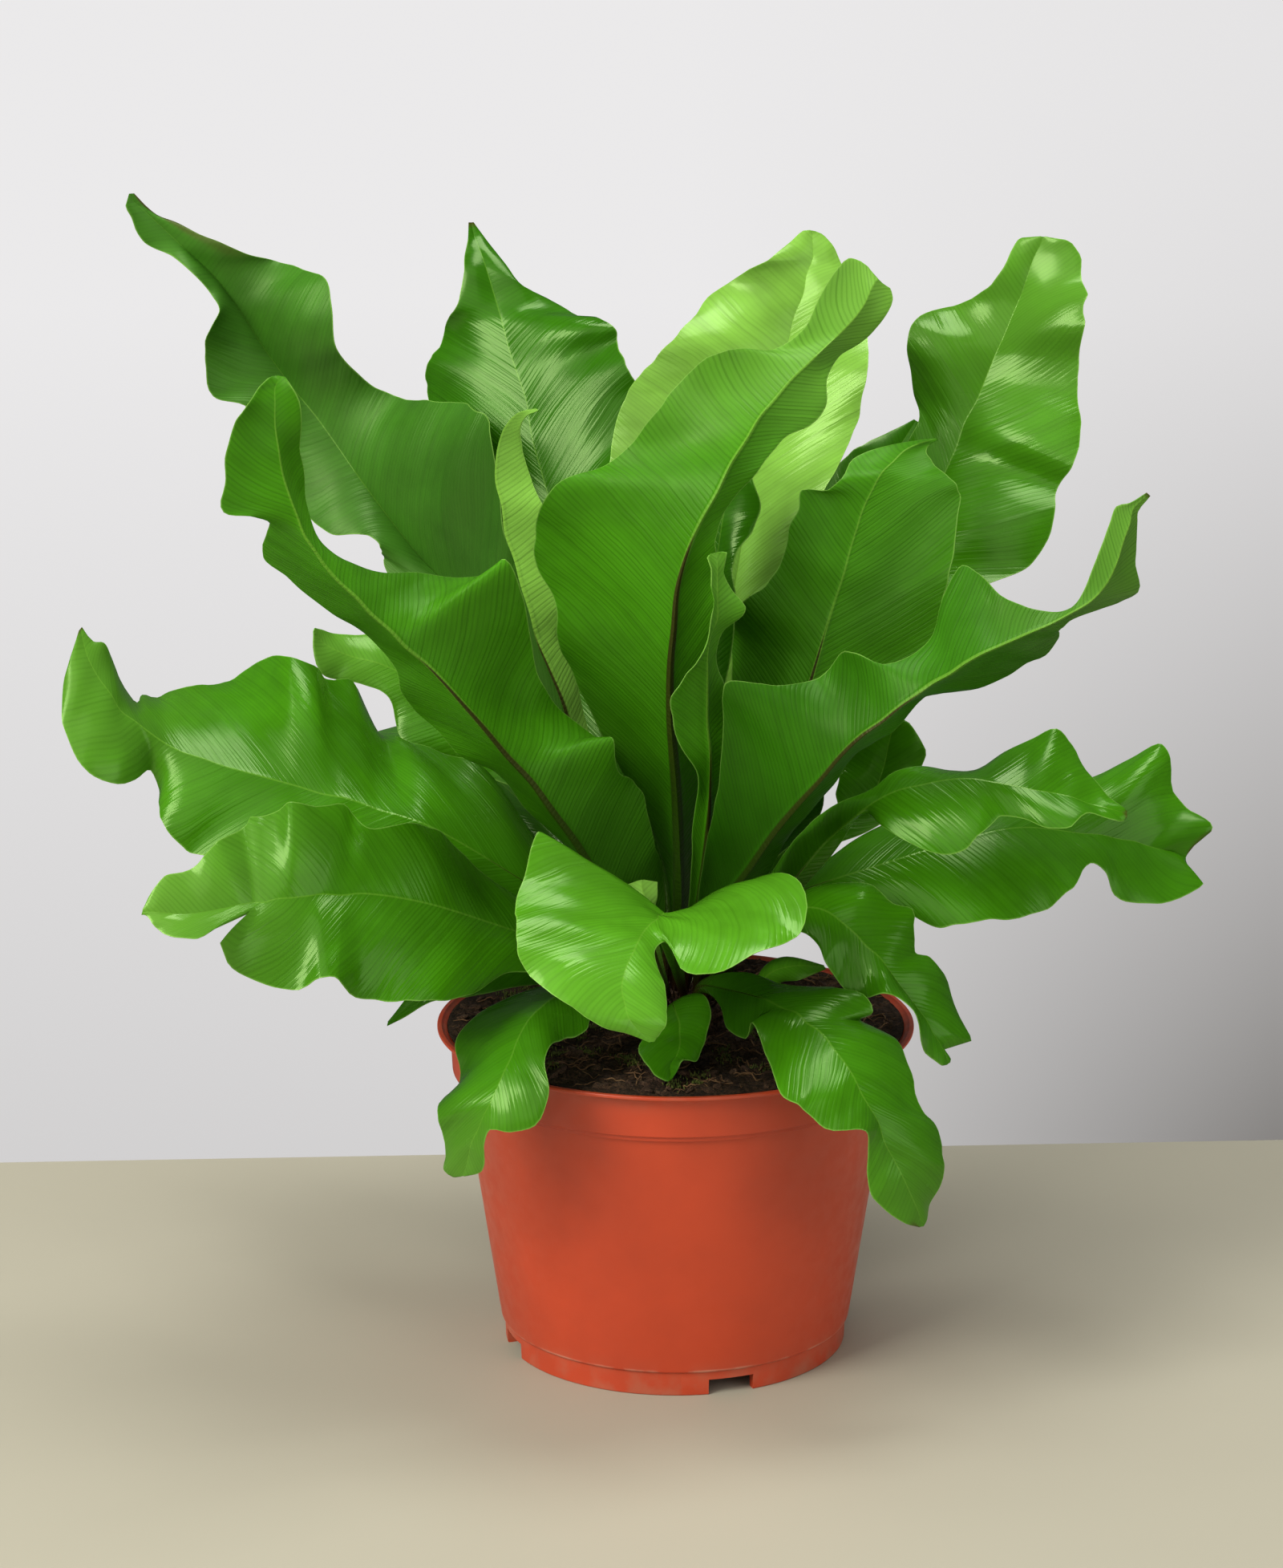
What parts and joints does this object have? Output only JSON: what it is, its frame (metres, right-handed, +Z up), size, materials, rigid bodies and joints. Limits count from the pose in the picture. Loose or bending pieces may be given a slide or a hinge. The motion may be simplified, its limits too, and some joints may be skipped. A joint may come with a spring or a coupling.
{
  "type": "potted bird's-nest fern",
  "caption": "Fern with broad wavy strap fronds rising from a short crown, growing in a filled round plastic nursery pot with a flared lip.",
  "frame": {"origin": "on the pot's axis, at the surface that the pot stands on", "axes": "+Z up along the pot's axis; the pictured front faces -Y; +X to the viewer's right"},
  "size_m": [0.3646, 0.2647, 0.359],
  "materials": {
    "pot_plastic": "smooth moulded terracotta-coloured plastic with a soft sheen",
    "potting_soil": "coarse damp potting mix with bark and fibre",
    "crown_wood": "rough scaly rootstock with dried stubs",
    "leaf_mid": "waxy green blade with fine parallel veins and a dark midrib",
    "leaf_dark": "waxy dark green blade with fine parallel veins",
    "leaf_light": "waxy yellow-green blade with fine parallel veins"
  },
  "bodies": {
    "root": {"pot": "pot_plastic", "soil": "potting_soil", "crown": "crown_wood", "frond_top_left": "leaf_mid", "frond_tall_left": "leaf_dark", "frond_folded": "leaf_light", "frond_centre": "leaf_mid", "frond_pale_back": "leaf_light", "frond_tall_right": "leaf_dark", "frond_cupped_right": "leaf_mid", "frond_sweeping_right": "leaf_mid", "frond_back_right": "leaf_dark", "frond_young_curl": "leaf_mid", "frond_inner": "leaf_dark", "frond_long_left": "leaf_dark", "frond_left_low": "leaf_mid", "frond_left_back": "leaf_mid", "frond_left_centre": "leaf_mid", "frond_front": "leaf_light", "frond_pale_bud": "leaf_light", "frond_front_left": "leaf_mid", "frond_front_small": "leaf_light", "frond_front_right": "leaf_mid", "frond_right_low": "leaf_mid", "frond_right_dark": "leaf_dark", "frond_right_light": "leaf_light", "frond_right_behind": "leaf_light", "frond_under_left": "leaf_mid", "frond_left_hidden": "leaf_dark", "frond_back_low_left": "leaf_mid", "frond_back_low_centre": "leaf_mid", "frond_back_low_right": "leaf_dark", "frond_right_shaded": "leaf_dark", "frond_back_high": "leaf_mid", "frond_side": "leaf_light"}
  },
  "joints": []
}
